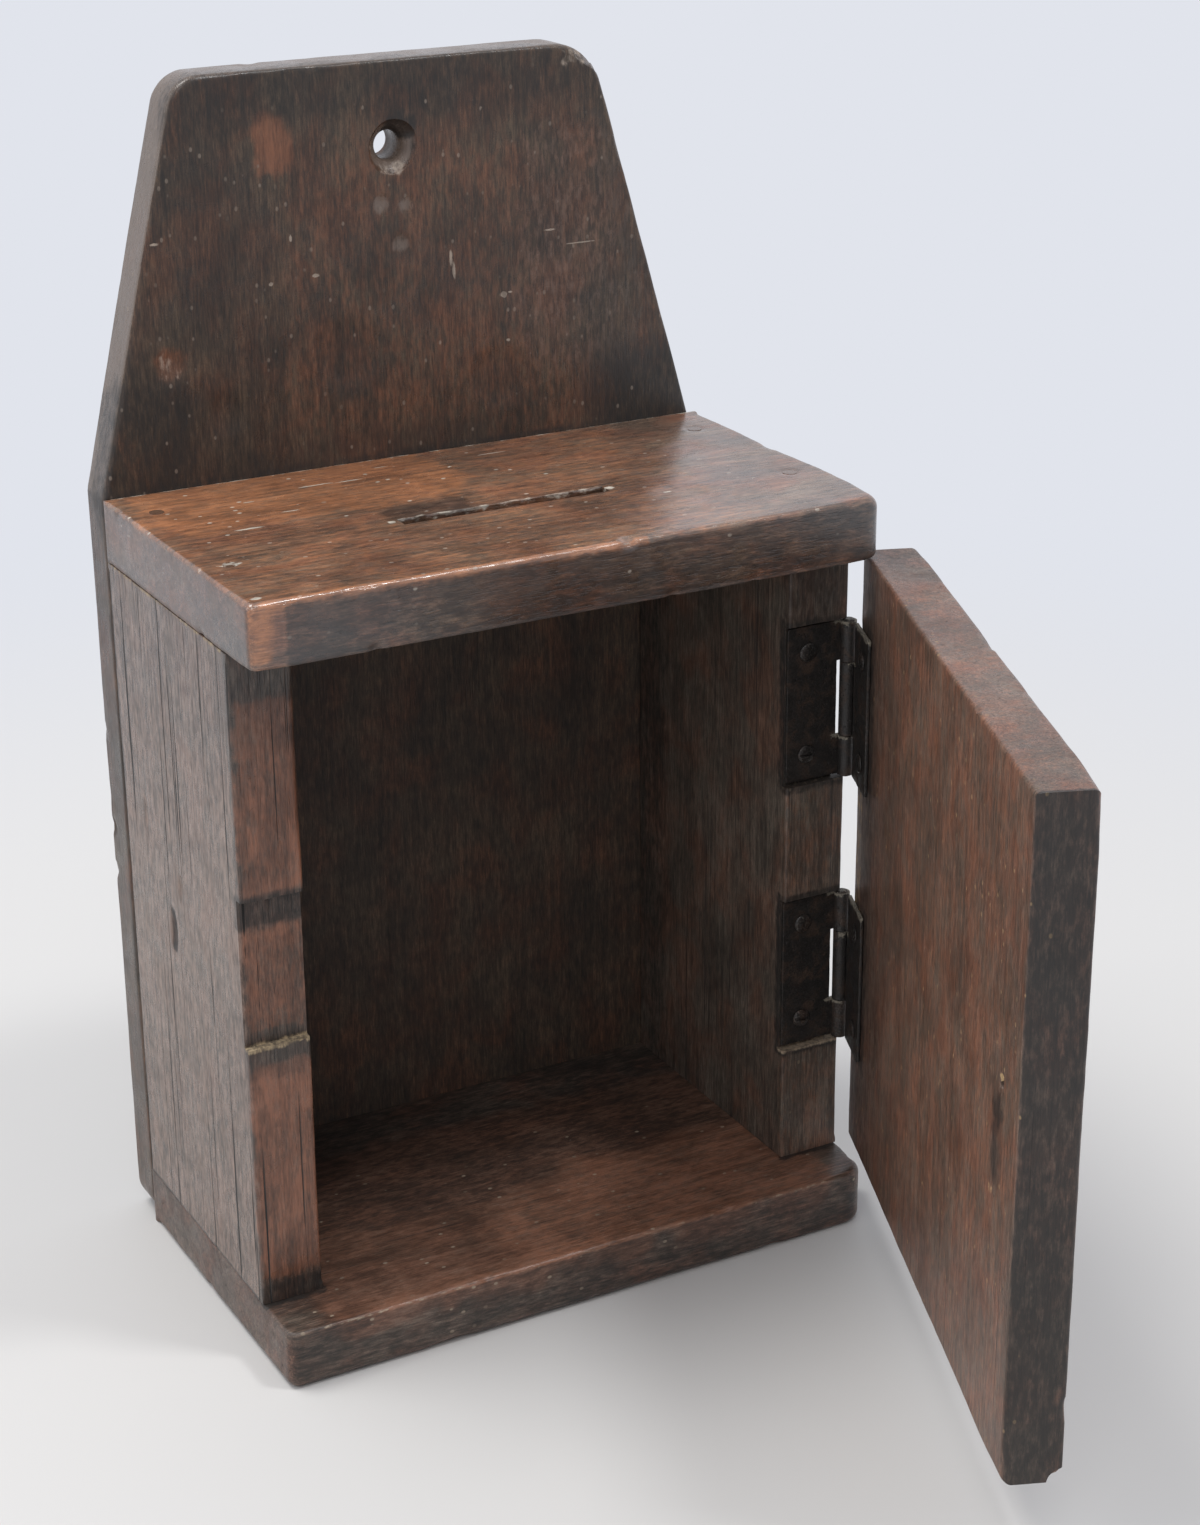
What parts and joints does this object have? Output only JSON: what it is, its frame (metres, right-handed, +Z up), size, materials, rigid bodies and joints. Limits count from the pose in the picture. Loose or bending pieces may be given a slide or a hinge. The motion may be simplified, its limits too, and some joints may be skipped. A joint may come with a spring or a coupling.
{
  "type": "wall letter box",
  "caption": "Small wooden wall letter box with a tapered back board, a hanging hole, a slot in its top board and a plain door on pressed iron butt hinges, standing open.",
  "frame": {"origin": "on the underside of the bottom board, midway across the box and midway along its depth from the wall face to the bottom board's front", "axes": "+Z up, +Y towards the wall, so the front faces -Y, and +X to the viewer's right, which is the hinge side"},
  "size_m": [0.2164, 0.298, 0.361],
  "materials": {
    "back_wood": "dark aged varnish, fine upright grain, glossy worn arrises",
    "top_wood": "glossy reddish brown varnish with grain across the width",
    "bottom_wood": "worn reddish brown wood with a grey brown front edge",
    "side_wood": "aged brown wood with open upright grain and red brown front edges",
    "door_wood": "reddish brown inner face, dark slate brown edges",
    "hinge_iron": "dark pressed iron with brown patina and dust",
    "screw_iron": "dark worn iron",
    "nail_iron": "dark iron with rust",
    "stopping": "dull filler stained near the wood's colour"
  },
  "bodies": {
    "carcass": {"back_board": "back_wood", "top_board": "top_wood", "bottom_board": "bottom_wood", "left_side": "side_wood", "right_side": "side_wood", "upper_hinge_frame_leaf": "hinge_iron", "upper_hinge_pin": "hinge_iron", "lower_hinge_frame_leaf": "hinge_iron", "lower_hinge_pin": "hinge_iron", "upper_hinge_frame_screws": "screw_iron", "lower_hinge_frame_screws": "screw_iron", "nails_back_to_left_side": "nail_iron", "nails_back_to_right_side": "nail_iron", "nails_back_to_top": "nail_iron", "nails_back_to_bottom": "nail_iron", "nails_top_to_left_side": "nail_iron", "nails_top_to_right_side": "nail_iron", "nails_bottom_to_left_side": "nail_iron", "nails_bottom_to_right_side": "nail_iron", "top_nail_stopping": "stopping"},
    "door": {"door": "door_wood", "upper_hinge_door_leaf": "hinge_iron", "lower_hinge_door_leaf": "hinge_iron", "upper_hinge_door_screws": "screw_iron", "lower_hinge_door_screws": "screw_iron"}
  },
  "joints": [
    {"name": "door_swing", "type": "hinge", "parent": "carcass", "child": "door", "pos_m": [0.1005, -0.0435, 0], "axis": [0, 0, 1], "range_deg": [-69, 111]}
  ]
}
